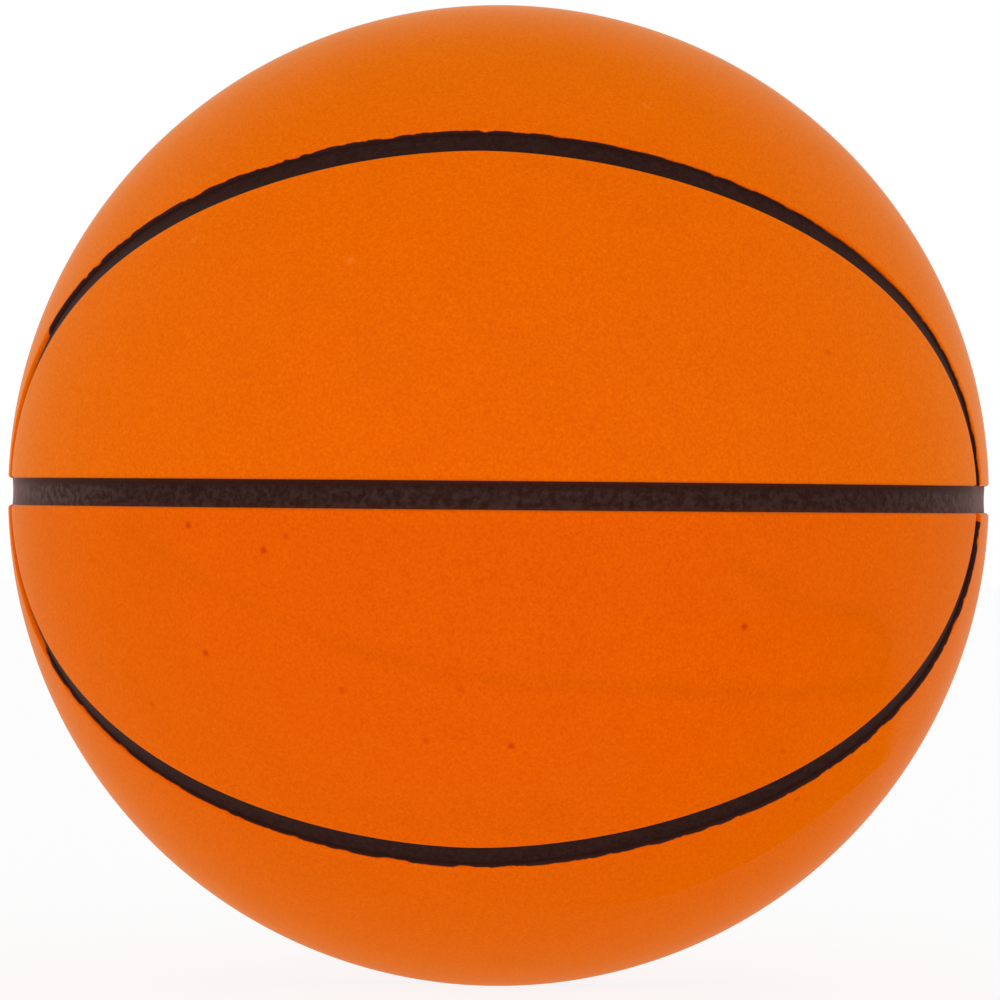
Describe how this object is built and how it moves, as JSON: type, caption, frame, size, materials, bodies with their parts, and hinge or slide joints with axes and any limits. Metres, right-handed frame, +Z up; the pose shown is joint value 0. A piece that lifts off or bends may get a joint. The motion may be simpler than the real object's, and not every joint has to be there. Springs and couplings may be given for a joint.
{
  "type": "toy basketball",
  "caption": "Small inflatable toy basketball: orange rubber cover panels with recessed black seam strips over a carcass, winding and bladder, with a pull-out needle valve plug.",
  "frame": {"origin": "centre of the ball", "axes": "+Z up through the crossing of the side seam with the ball's top; -Y towards the middle of the front loop; +X to the right of the front; the equator seam lies in the XY plane"},
  "size_m": [0.1298, 0.13, 0.13],
  "materials": {
    "cover_rubber": "smooth satin",
    "seam_rubber": "satin",
    "carcass_rubber": "matt",
    "winding_thread": "matt",
    "bladder_rubber": "matt",
    "valve_rubber": "satin"
  },
  "bodies": {
    "ball": {"front_upper_lens_panel": "cover_rubber", "front_upper_wrap_panel": "cover_rubber", "front_lower_lens_panel": "cover_rubber", "front_lower_wrap_panel": "cover_rubber", "back_upper_lens_panel": "cover_rubber", "back_upper_wrap_panel": "cover_rubber", "back_lower_lens_panel": "cover_rubber", "back_lower_wrap_panel": "cover_rubber", "front_upper_loop_strip": "seam_rubber", "front_lower_loop_strip": "seam_rubber", "back_upper_loop_strip": "seam_rubber", "back_lower_loop_strip": "seam_rubber", "equator_seam_strip": "seam_rubber", "upper_side_seam_strip": "seam_rubber", "lower_side_seam_strip": "seam_rubber", "carcass": "carcass_rubber", "thread_winding": "winding_thread", "air_bladder": "bladder_rubber", "valve_seat": "valve_rubber"},
    "plug": {"valve_plug": "valve_rubber"}
  },
  "joints": [
    {"name": "plug_pull", "type": "slide", "parent": "ball", "child": "plug", "axis": [0, 0.9272, 0.3746], "range_m": [0, 0.02]}
  ]
}
